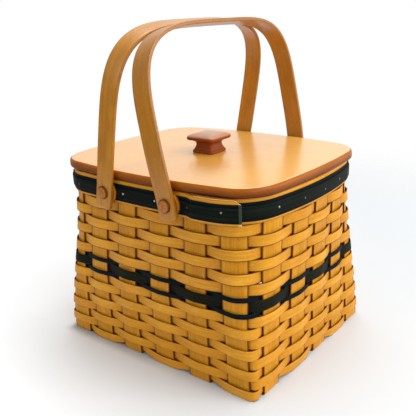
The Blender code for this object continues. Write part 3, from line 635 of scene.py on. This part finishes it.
def make_weaver(name, bottom, width, over_first, slot, seed, rise=0.0, tuck=0.0):
    """One weaver, from behind an upright at the back once round to the same upright."""
    start = seam_run if over_first else seam_run + 1
    numbers = [start + k for k in range(run_count + 1)]
    keys, outs, lifts = [], [], []
    edge = upright_thickness / 2 + seat_gap + weaver_thickness / 2 + edge_clear
    for place, number in enumerate(numbers):
        over = (number % 2 == 0) == over_first
        sign = 1 if over else -1
        peak = weaver_peak + (chance.normal(0.0, peak_spread) if over else 0.0)
        for side, out in ((-hold, edge), (-shoulder, shoulder_share * peak), (0.0, peak),
                          (shoulder, shoulder_share * peak), (hold, edge)):
            keys.append(place + side)
            outs.append(sign * out)
            lifts.append(0.0 if over else 1.0)
    crossings = [k + side for k in range(run_count) for side in (hold, 1 - hold)]
    counts = [crossing_steps, hold_steps] * (run_count - 1)
    at = steps_between([0.0, *crossings, float(run_count)], [end_steps, *counts, crossing_steps, end_steps])
    out = smooth_curve(keys, outs, at)
    lift = np.interp(at, keys, lifts) * rise
    stations = np.arange(-1, run_count + 3)
    drift = smooth_curve(stations, row_drift[stations % run_count], at)
    tilt = smooth_curve(stations, chance.normal(0.0, tilt_spread, len(stations)), at)
    across, halves = edge_profile(width, weaver_thickness, splint_edge)
    rows = []
    for side in across:
        height = bottom + width / 2 + side
        outline = wall(height)
        knots, places = [], []
        for place, number in enumerate(numbers):
            turns, index = divmod(number, run_count)
            middle = upright_place(index, height) + turns * outline.length
            half = upright_half(index)
            knots += [place - hold, place + hold]
            places += [middle - half, middle + half]
        walked = np.interp(at, knots, places)
        share = side / width + 0.5
        bulge = np.maximum(np.abs(out) - edge, 0.0) * np.sign(out)
        bulge = bulge + foot_pull * np.clip(out / edge, 0.0, 1.0)
        flat = outline.at(walked, out - bulge * tuck * (1 - share))
        level = height + lift * (0.5 - side / width) + drift + tilt
        rows.append(np.concatenate([flat, level[:, None]], 1))
    surface = np.stack(rows, 1)
    crown = 0.5 + out / (2 * weaver_peak)
    return splint(name, surface, across, halves, "basket", slot, [name], seed, crown, 1 - crown)


def make_weavers():
    """Eight rows, the three accent rows and six more, each the opposite of the row below."""
    rows = [(f"lower_weaver_{k + 1}", lower_width, "weaver_natural") for k in range(lower_count)]
    rows += [("accent_weaver_narrow_lower", narrow_width, "weaver_dark_narrow"),
             ("accent_weaver_wide", accent_width, "weaver_dark_wide"),
             ("accent_weaver_narrow_upper", narrow_width, "weaver_dark_narrow")]
    rows += [(f"upper_weaver_{k + 1}", upper_width, "weaver_natural") for k in range(upper_count)]
    narrow_grow, other_grow = 0.00040, 0.00022
    lowest_drop, lowest_rise = 0.0008, 0.0045
    tucks = (1.0, 0.45, 0.2)
    bottom = weave_bottom
    for k, (name, width, slot) in enumerate(rows):
        grow = narrow_grow if width == narrow_width else other_grow
        down, rise = (lowest_drop, lowest_rise) if k == 0 else (0.0, 0.0)
        tuck = tucks[k] if k < len(tucks) else 0.0
        make_weaver(name, bottom - grow - down, width + 2 * grow + down, k % 2 == 1, slot, k * 1.7 + 0.4,
                    rise, tuck)
        bottom += width + row_gap


def make_upright(name, index, runs_front, seed):
    """One upright: down a wall, through the plait of the base, and up the opposite wall."""
    if runs_front:
        near, far = index, half_count + front_count - 1 - index
        own_base, other_base = front_back_base, side_side_base
        own_width, crossed_width = front_upright_width, side_upright_width
    else:
        near, far = run_count - 1 - index, front_count + index
        own_base, other_base = side_side_base, front_back_base
        own_width, crossed_width = side_upright_width, front_upright_width
    across, halves = edge_profile(own_width, upright_thickness, splint_edge)
    bend, clear = 0.0014, 0.0008
    bend_rows, wall_rows, base_rows = 5, 44, 64
    low_level = upright_thickness / 2
    high_level = low_level + upright_thickness + seat_gap
    axis = 1 if runs_front else 0

    def level_at(other):
        above = (index + other) % 2 == 0
        return high_level if above == runs_front else low_level

    def wall_part(number, walk_sign):
        """The rows up one wall, from floor level through the bend to the top."""
        foot = low_level + bend
        rows = []
        for turn in np.linspace(0.0, math.pi / 2, bend_rows + 1)[:-1]:
            points = wall_points(foot, upright_place(number, foot) + walk_sign * across, 0.0)
            inward = bend * (1 - math.sin(turn))
            points[:, axis] -= np.sign(points[:, axis]) * inward
            points[:, 2] = low_level + bend * (1 - math.cos(turn))
            rows.append(points)
        for height in np.linspace(foot, upright_top, wall_rows):
            rows.append(wall_points(height, upright_place(number, height) + walk_sign * across, 0.0))
        return rows

    near_rows = wall_part(near, 1.0 if runs_front else -1.0)[::-1]
    far_rows = wall_part(far, -1.0 if runs_front else 1.0)
    keys, levels = [], []
    for other, centre in enumerate(other_base):
        keys += [centre - crossed_width / 2 - clear, centre + crossed_width / 2 + clear]
        levels += [level_at(other)] * 2
    rows = []
    for along in np.linspace(keys[0], keys[-1], base_rows):
        k = min(max(np.searchsorted(keys, along), 1), len(keys) - 1)
        level = float(ease(levels[k - 1], levels[k], (along - keys[k - 1]) / (keys[k] - keys[k - 1])))
        side = own_base[index] + across
        fixed = np.full_like(side, along)
        flat = (side, fixed) if runs_front else (fixed, side)
        rows.append(np.stack([*flat, np.full_like(side, level)], 1))
    surface = np.stack([*near_rows, *rows, *far_rows])
    return splint(name, surface, across, halves, "basket", "upright_natural", [name], seed)


def make_uprights():
    for k in range(front_count):
        make_upright(f"front_back_upright_{k + 1}", k, True, 40.3 + 2.9 * k)
    for k in range(side_count):
        make_upright(f"side_side_upright_{k + 1}", k, False, 70.1 + 3.1 * k)


def make_band(name, bottom, top, offset, thickness, slot, seed, lapped, drop=0.0, round_edge=0.0005,
              painted_top_highlight=False):
    """A band bent once round the rim; a lapped band's outer end lies over its start."""
    lap_rise, climb_start, climb = 0.0047, 0.014, 0.0137
    spring, spring_reach = 0.0016, 0.024
    mitre, cut_face, top_edge = 0.006, 0.0024, 0.0001
    even_rows, last_rows = 300, (0.0023, 0.001, 0.0)
    last_even = 0.0026
    outline = wall(rim_height)
    length = outline.length
    start, end = (band_start, band_end + length) if lapped else (0.0, length)
    walked = np.append(np.linspace(start, end - last_even, even_rows), [end - gap for gap in last_rows])
    lift = np.zeros_like(walked)
    if lapped:
        lift = ease(0.0, lap_rise, (walked - (length + band_start - climb_start)) / climb)
        lift += spring * np.maximum(0.0, 1 - (end - walked) / spring_reach) ** 2
    across, halves = edge_profile(top - bottom, thickness, min(round_edge, thickness / 2 - 0.0001))
    cut = drop * np.clip((walked - (end - mitre)) / mitre, 0.0, 1.0)
    rows = []
    for side in across:
        height = (bottom + top) / 2 + side
        flat = outline.at(walked, offset + lift)
        share = (side / (top - bottom) + 0.5)
        rows.append(np.concatenate([flat, (height - cut * share ** 4)[:, None]], 1))
    crown = np.ones((len(walked), len(across)))
    if lapped:
        crown[walked > end - cut_face] = cut_and_highlight_crown
    # Painted highlight: the top edge of the outer band's lap takes the pale cut-end colour
    if painted_top_highlight:
        crown[np.ix_(walked > length + band_start, across > across[-1] - top_edge)] = cut_and_highlight_crown
    return splint(name, np.stack(rows, 1), across, halves, "basket", slot, [name], seed, crown)


def make_rim():
    """Two natural bands hold the uprights' tops, and two dark ones trim the outer band."""
    inner_short = 0.0004
    make_band("inner_rim_band", band_bottom + inner_short, band_top - inner_short, -0.0020, 0.0020,
              "rim_natural", 91.0, False)
    make_band("outer_rim_band", band_bottom, band_top, 0.0019, 0.0018, "rim_natural", 95.3, True,
              drop=0.005, painted_top_highlight=True)
    make_band("trim_band", trim_bottom, trim_top, 0.0037, 0.0012, "rim_trim_dark", 101.9, True)
    make_band("trim_strip", strip_bottom, strip_top, 0.0050, 0.0008, "rim_strip_dark", 107.7, True,
              round_edge=0.0003)


def make_handle(name, side, seed):
    """A bent strap on its two pegs, leaning in to its stop."""
    bow_start, bow_end = 0.009, 0.061
    tail_rows, bow_rows, arch_rows, even_rows = 16, 30, 90, 300
    strap_edge, edge_steps = 0.0012, 4
    half_foot = leg_face - strap_thickness / 2
    *legs, drop = handle_bends[name]
    rise = handle_rise - strap_thickness / 2 - bow_end - drop
    near, far = [], []
    for path, (bow, power) in zip((near, far), legs):
        half_span = half_foot + bow
        path += [(half_foot, z) for z in np.linspace(-handle_tail[name], bow_start, tail_rows)[:-1]]
        for z in np.linspace(bow_start, bow_end, bow_rows):
            share = math.sin((z - bow_start) / (bow_end - bow_start) * math.pi / 2)
            path.append((blend(half_foot, half_span, share), z))
        for turn in np.linspace(0, math.pi / 2, arch_rows)[1:]:
            cos, sin = math.cos(turn), math.sin(turn)
            reach = (abs(cos) ** power + abs(sin) ** power) ** (-1 / power)
            path.append((half_span * reach * cos, bow_end + rise * reach * sin))
    path = np.array([(-y, z) for y, z in near[:-1]] + [(y, z) for y, z in far[::-1]])
    walked = distances(path)
    even = np.linspace(0.0, walked[-1], even_rows)
    path = np.stack([np.interp(even, walked, path[:, k]) for k in (0, 1)], 1)
    across, halves = edge_profile(strap_width, strap_thickness, strap_edge, edge_steps)
    from_end = np.minimum(even, even[-1] - even)
    corner, corner_share = 0.004, 0.8
    inward = np.sqrt(np.maximum(corner ** 2 - (corner - from_end) ** 2, 0))
    cut = np.where(from_end < corner, corner - inward, 0)
    width = (strap_width / 2 - cut * corner_share) / (strap_width / 2)
    along_x = np.outer(width, across)
    along_y = np.repeat(path[:, :1], len(across), 1)
    along_z = np.repeat(path[:, 1:], len(across), 1)
    lean = -side * handle_lean
    x = side * pivot_offset + along_x * math.cos(lean) + along_z * math.sin(lean)
    z = pivot_height - along_x * math.sin(lean) + along_z * math.cos(lean)
    surface = np.stack([x, along_y, z], -1)
    return splint(name, surface, across, halves, name, "handle_wood", [name], seed)


def lathe(name, profile, steps, location, facing, slot, seed=0.0, shape=None):
    """A round piece of the basket on a Y axis, from a profile of radius and distance out from its seat."""
    turn = np.linspace(0, 2 * math.pi, steps, endpoint=False)
    points, grain = [], []
    for radius, out in profile:
        for t in turn:
            x, z = radius * math.cos(t), radius * math.sin(t)
            y = facing * out
            if shape is not None:
                y = shape(x, y)
            points.append((location[0] + x, location[1] + y, location[2] + z))
            grain.append((radius, t * radius, seed))
    faces = grid_faces(len(profile), steps)
    return add_piece(name, points, faces, grain, "basket", slot, [name])


def make_ears_and_pegs():
    """Four ears cut to the rim's curve on their backs, and the headed pegs through them."""
    face = leg_face - strap_thickness - seat_gap
    bore, ear_radius, ear_back, ear_steps = 0.0038, 0.0138, -0.0030, 64
    ring = [(bore, 0.0), (0.0131, 0.0), (0.0135, -0.0001), (ear_radius, -0.0005), (ear_radius, ear_back),
            (bore, ear_back), (bore, 0.0)]
    head_radius, head_low, head_rise, head_top = 0.0075, 0.0010, 0.0026, 0.0036
    axis, pin_radius, pin_end, peg_steps = 0.00001, 0.0035, -0.0175, 48
    dome = [(head_radius * math.cos(t), head_low + head_rise * math.sin(t))
            for t in np.linspace(math.pi / 2 - 0.02, 0, 12)]
    pin = [(axis, head_top), *dome, (head_radius, 0.0001), (0.0073, 0.0), (pin_radius, 0.0),
           (pin_radius, -0.0168), (0.0030, pin_end), (axis, pin_end)]
    outline = wall(pivot_height)
    rim_walk = np.linspace(0.0, outline.length, 2000)
    rim_out, rim_near, back_depth = 0.0057, 0.03, 0.0025
    rim_points = outline.at(rim_walk, rim_out)
    for depth_name, facing in (("front", -1), ("back", 1)):
        for side_name, side in (("left", -1), ("right", 1)):
            x0 = side * pivot_offset
            beside = np.abs(rim_points[:, 0] - x0) < rim_near
            wall_side = rim_points[(rim_points[:, 1] * facing > 0) & beside]
            wall_side = wall_side[np.argsort(wall_side[:, 0])]

            def back_shape(x, y):
                if abs(y) < back_depth:
                    return y
                reach = np.interp(x0 + x, wall_side[:, 0], wall_side[:, 1])
                return reach - facing * face

            lathe(f"handle_ear_{depth_name}_{side_name}", ring, ear_steps,
                  (x0, facing * face, pivot_height), facing, "ear_wood", 0.0, back_shape)
            lathe(f"handle_peg_{depth_name}_{side_name}", pin, peg_steps,
                  (x0, facing * (leg_face + seat_gap), pivot_height), facing, "peg_wood",
                  3.0 + side + 2 * facing)


def make_lid():
    """The bowed board: flat faces, a rounded edge above and a smaller one below."""
    outline = Outline(lid_half_length, lid_half_width, lid_corner, lid_bow, lid_bow)
    steps, low_rings, top_rings = 320, 7, 9
    walked = np.linspace(0.0, outline.length, steps, endpoint=False)
    round_top, round_low = 0.0040, 0.0030
    lid_top = lid_bottom + lid_thickness
    profile = []
    for t in np.linspace(-math.pi / 2, 0.0, low_rings):
        profile.append((round_low - round_low * math.cos(t), round_low + round_low * math.sin(t)))
    for t in np.linspace(0.0, math.pi / 2, top_rings):
        height = lid_thickness - round_top + round_top * math.sin(t)
        profile.append((round_top - round_top * math.cos(t), height))

    def ring_at(flat, height):
        return np.concatenate([flat, np.full((steps, 1), height)], 1)

    inner_low, inner_top = outline.at(walked, -round_low), outline.at(walked, -round_top)
    rings = [ring_at(inner_low * share, lid_bottom) for share in (0.02, 0.5, 0.96)]
    rings += [ring_at(outline.at(walked, -inset), lid_bottom + z) for inset, z in profile]
    rings += [ring_at(inner_top * share, lid_top) for share in (0.985, 0.90, 0.6, 0.3, 0.02)]
    points = np.concatenate(rings)
    faces = stack_faces(len(rings), steps)
    board = add_piece("lid_board", points, faces, None, "lid", "lid_maple", ["lid_board"])
    board.data.materials.append(lid_edge_wood)
    edge_low, edge_high, flat_normal = lid_bottom + 0.0004, lid_top - 0.0002, 0.92
    for face in board.data.polygons:
        if edge_low < face.center.z < edge_high and abs(face.normal.z) < flat_normal:
            face.material_index = 1


def make_knob():
    """The square knob: stepped foot, waisted neck, flared plate and low crown."""
    base, neck, plate, height = 0.0155, 0.0118, 0.0206, 0.0240
    sides, squareness, ring_count, smoothings = 96, 9, 110, 3
    keys = ((base, 0.0), (base, 0.03), (base, 0.12), (0.0153, 0.135), (0.0142, 0.145), (0.0140, 0.18),
            (0.0137, 0.21), (0.0126, 0.29), (neck, 0.42), (0.0124, 0.52), (0.0144, 0.59), (0.0180, 0.635),
            (0.0200, 0.655), (plate, 0.69), (plate, 0.78), (0.0201, 0.84), (0.0190, 0.875),
            (0.0160, 0.925), (0.0110, 0.972), (0.0050, 0.996), (0.0003, 1.0))
    halves = np.array([k[0] for k in keys])
    heights = np.array([k[1] for k in keys]) * height
    walk = np.concatenate([[0.0], np.cumsum(np.hypot(np.diff(halves), np.diff(heights)))])
    at = np.linspace(0.0, walk[-1], ring_count)
    halves, heights = np.interp(at, walk, halves), np.interp(at, walk, heights)
    for _ in range(smoothings):
        for line in (halves, heights):
            line[1:-1] = (line[:-2] + 2 * line[1:-1] + line[2:]) / 4
    foot = lid_bottom + lid_thickness + seat_gap
    turn = np.linspace(0, 2 * math.pi, sides, endpoint=False)
    reach = (np.abs(np.cos(turn)) ** squareness + np.abs(np.sin(turn)) ** squareness) ** (-1 / squareness)
    rings = [np.stack([half * reach * np.cos(turn), half * reach * np.sin(turn),
                       np.full(sides, foot + height)], 1) for half, height in zip(halves, heights)]
    points = np.concatenate(rings)
    faces = stack_faces(len(rings), sides)
    add_piece("lid_knob", points, faces, None, "lid", "knob_wood", ["lid_knob"])


def tack_nodes():
    """Geometry nodes: one small domed head on each point, turned to face as its attribute says."""
    tree = bpy.data.node_groups.new("tack_heads", "GeometryNodeTree")
    sizes = {"Head radius": ("NodeSocketFloat", 0.00125), "Head height": ("NodeSocketFloat", 0.0005),
             "Metal": ("NodeSocketMaterial", tack_metal)}
    tree.interface.new_socket("Geometry", in_out="INPUT", socket_type="NodeSocketGeometry")
    values = {}
    for name, (kind, value) in sizes.items():
        values[tree.interface.new_socket(name, in_out="INPUT", socket_type=kind).identifier] = value
    tree.interface.new_socket("Geometry", in_out="OUTPUT", socket_type="NodeSocketGeometry")
    graph = Graph(tree)
    group_input, group_output = tree.nodes.new("NodeGroupInput"), tree.nodes.new("NodeGroupOutput")
    points, radius, height, metal = (Socket(graph, group_input.outputs[name])
                                     for name in ("Geometry", *sizes))
    ball = graph.add("GeometryNodeMeshUVSphere", {"Segments": 20, "Rings": 12, "Radius": radius})
    flatten = graph.add("ShaderNodeCombineXYZ", (1.0, 1.0, height.math("DIVIDE", radius)))
    facing = graph.add("GeometryNodeInputNamedAttribute", {"Name": "facing"}, data_type="FLOAT_VECTOR")
    turn = graph.add("FunctionNodeAlignRotationToVector", {"Vector": facing}, axis="Z")
    spread = graph.add("GeometryNodeInstanceOnPoints", {"Points": points, "Instance": ball,
                                                        "Rotation": turn, "Scale": flatten})
    heads = graph.add("GeometryNodeRealizeInstances", {"Geometry": spread})
    smooth = graph.add("GeometryNodeSetShadeSmooth", {"Geometry": heads})
    painted = graph.add("GeometryNodeSetMaterial", {"Geometry": smooth, "Material": metal})
    graph.plug(group_output.inputs["Geometry"], painted)
    return tree, values


def make_tacks():
    """Small tack heads along the dark strip of the rim: place along a wall, out, height and tarnish."""
    outline = wall(rim_height)
    quarter = outline.length / 4
    face, lap_start, lap_end = 0.0054, 0.0074, 0.0102
    outward = 0.01
    places = [(-0.1010, face, 0.2033, 0.9), (-0.0226, face, 0.2043, 0.1), (0.0250, face, 0.2041, 0.2),
              (0.0705, lap_start, 0.2049, 0.9), (0.1090, lap_end, 0.2060, 0.6)]
    places += [(quarter + y, face, z, tarnish)
               for y, z, tarnish in ((-0.0740, 0.2038, 0.4), (-0.0316, 0.2028, 0.85), (0.0107, 0.2016, 0.8),
                                     (0.0490, 0.2036, 0.75), (0.0780, 0.2031, 0.9))]
    places += [(2 * quarter + x, face, 0.2040, 0.6) for x in (-0.1000, -0.0200, 0.0230, 0.0980)]
    places += [(3 * quarter + y, face, 0.2036, 0.6) for y in (-0.0800, -0.0380, 0.0050, 0.0420, 0.0800)]
    points, normals = [], []
    for walked, out, height, _ in places:
        here, there = outline.at([walked], out)[0], outline.at([walked], out + outward)[0]
        points.append((*here, height))
        ray = (there - here) / np.linalg.norm(there - here)
        normals.append((*ray, 0.0))
    mesh = bpy.data.meshes.new("rim_tack_places")
    mesh.from_pydata(points, [], [])
    add_attribute(mesh, "facing", "FLOAT_VECTOR", normals)
    add_attribute(mesh, "tarnish", "FLOAT", [place[3] for place in places])
    holder = add_object("rim_tack_places", mesh)
    tree, values = tack_nodes()
    modifier = holder.modifiers.new("tacks", "NODES")
    modifier.node_group = tree
    for key, value in values.items():
        modifier[key] = value
    depsgraph = bpy.context.evaluated_depsgraph_get()
    heads = bpy.data.meshes.new_from_object(holder.evaluated_get(depsgraph))
    bpy.data.objects.remove(holder, do_unlink=True)
    tacks = add_object("rim_tacks", heads)
    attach(tacks, "basket")


def make_floor():
    """A pale floor that fades out to white, with painted shade darkening it to the right and back and a
    painted contact shadow along the front wall.
    """
    graph = Surface("studio_floor")
    place = graph.place()
    cloud = place.scaled(3.0).noise(3.0, 0.5)
    # Painted shade: the floor's colour darkens towards the right and back
    across = place.part(0) * 0.78 + place.part(1) * 0.63 + cloud * 0.1
    colour = graph.mix(across.band(-0.35, 0.40), (0.85, 0.87, 0.89), (0.58, 0.605, 0.63))
    # Painted contact shadow in front of the front wall, strongest at the left
    before_front = place.part(1).band(-0.1400, -0.1219) * place.part(1).band(-0.06, 0.0, 1.0, 0.0)
    beside_ends = place.part(0).math("ABSOLUTE").band(0.1380, 0.1560, 1.0, 0.0)
    painted_contact_shadow = before_front * beside_ends * place.part(0).band(-0.15, 0.13, 0.70, 0.10)
    colour = graph.mix(painted_contact_shadow, colour, (0.200, 0.150, 0.110))
    away = graph.add("ShaderNodeVectorMath", (place,), output="Value", operation="LENGTH")
    graph.plug(graph.shader.inputs["Alpha"], away.band(0.45, 1.10, 1.0, 0.0))
    floor_material = graph.finish(colour, cloud.band(0.3, 0.7, 0.60, 0.66), Specular_IOR_Level=0.1)
    mesh = bpy.data.meshes.new("studio_floor")
    reach = 3.0
    mesh.from_pydata([(-reach, -reach, 0), (reach, -reach, 0), (reach, reach, 0), (-reach, reach, 0)], [],
                     [(0, 1, 2, 3)])
    mesh.materials.append(floor_material)
    floor = add_object("studio_floor", mesh)


def make_sky():
    """Light that is brightest from behind on the right, and plain white for the camera."""
    world = bpy.data.worlds.new("studio_world")
    bpy.context.scene.world = world
    world.use_nodes = True
    graph = Graph(world.node_tree)
    direction = graph.add("ShaderNodeTexCoord", output="Generated")
    brightest = (0.24, 0.68, 0.69)
    toward = graph.add("ShaderNodeVectorMath", (direction, brightest), output="Value",
                       operation="DOT_PRODUCT")
    sky = graph.tree.nodes["Background"]
    graph.plug(sky.inputs["Color"], (1.0, 0.99, 0.97))
    graph.plug(sky.inputs["Strength"], graph.add("ShaderNodeMapRange", (toward, -0.8, 0.9, 0.15, 1.08)))
    white = graph.add("ShaderNodeBackground", ((1.0, 1.0, 1.0), 1.0))
    seen = graph.add("ShaderNodeLightPath", output="Is Camera Ray")
    light = graph.add("ShaderNodeMixShader", (seen, Socket(graph, sky.outputs[0]), white))
    graph.plug(graph.tree.nodes["World Output"].inputs["Surface"], light)


def make_lamps():
    """Five soft boxes: place, height aimed at, size, power and tint."""
    for name, location, aim, size, power, tint in (
            ("key_softbox", (1.3, 0.35, 1.25), 0.12, (0.8, 0.8), 13.0, (1.0, 0.98, 0.95)),
            ("side_softbox", (1.25, 0.95, 0.55), 0.12, (0.9, 0.7), 4.0, (1.0, 1.0, 1.0)),
            ("corner_softbox", (1.5, -0.6, 0.6), 0.12, (0.9, 0.7), 6.0, (1.0, 1.0, 1.0)),
            ("fill_softbox", (-0.5, -1.6, 1.0), 0.12, (1.2, 1.0), 6.0, (1.0, 0.99, 0.97)),
            ("top_softbox", (-0.2, 0.6, 1.9), 0.20, (1.4, 1.0), 14.5, (1.0, 1.0, 1.0))):
        lamp = bpy.data.lights.new(name, "AREA")
        lamp.shape = "RECTANGLE"
        lamp.size, lamp.size_y = size
        lamp.energy = power
        lamp.color = tint
        holder = add_object(name, lamp)
        holder.location = location
        direction = Vector((0, 0, aim)) - Vector(location)
        holder.rotation_euler = direction.to_track_quat("-Z", "Y").to_euler()


def make_camera():
    """The camera that the photograph was taken with, as fitted to the basket's corners and rows."""
    azimuth, elevation, roll = math.radians(39.14), math.radians(18.33), -0.0412
    stand, lens, sensor = (0.44870, -0.55860, 0.39328), 51.58, 36.0
    back = Vector((math.sin(azimuth) * math.cos(elevation), -math.cos(azimuth) * math.cos(elevation),
                   math.sin(elevation)))
    right = Vector((math.cos(azimuth), math.sin(azimuth), 0.0))
    above = back.cross(right)
    turned_right = right * math.cos(roll) + above * math.sin(roll)
    turned_up = above * math.cos(roll) - right * math.sin(roll)
    camera_data = bpy.data.cameras.new("photo_camera")
    camera_data.sensor_width = sensor
    camera_data.lens = lens
    camera = add_object("photo_camera", camera_data)
    turn = Matrix((turned_right, turned_up, back)).transposed()
    camera.matrix_world = Matrix.Translation(stand) @ turn.to_4x4()
    bpy.context.scene.camera = camera
    bpy.context.scene.view_settings.view_transform = "Standard"


make_uprights()
make_weavers()
make_rim()
make_handle("handle_left", -1, 21.3)
make_handle("handle_right", 1, 33.8)
make_ears_and_pegs()
make_lid()
make_knob()
make_tacks()
make_floor()
make_sky()
make_lamps()
make_camera()
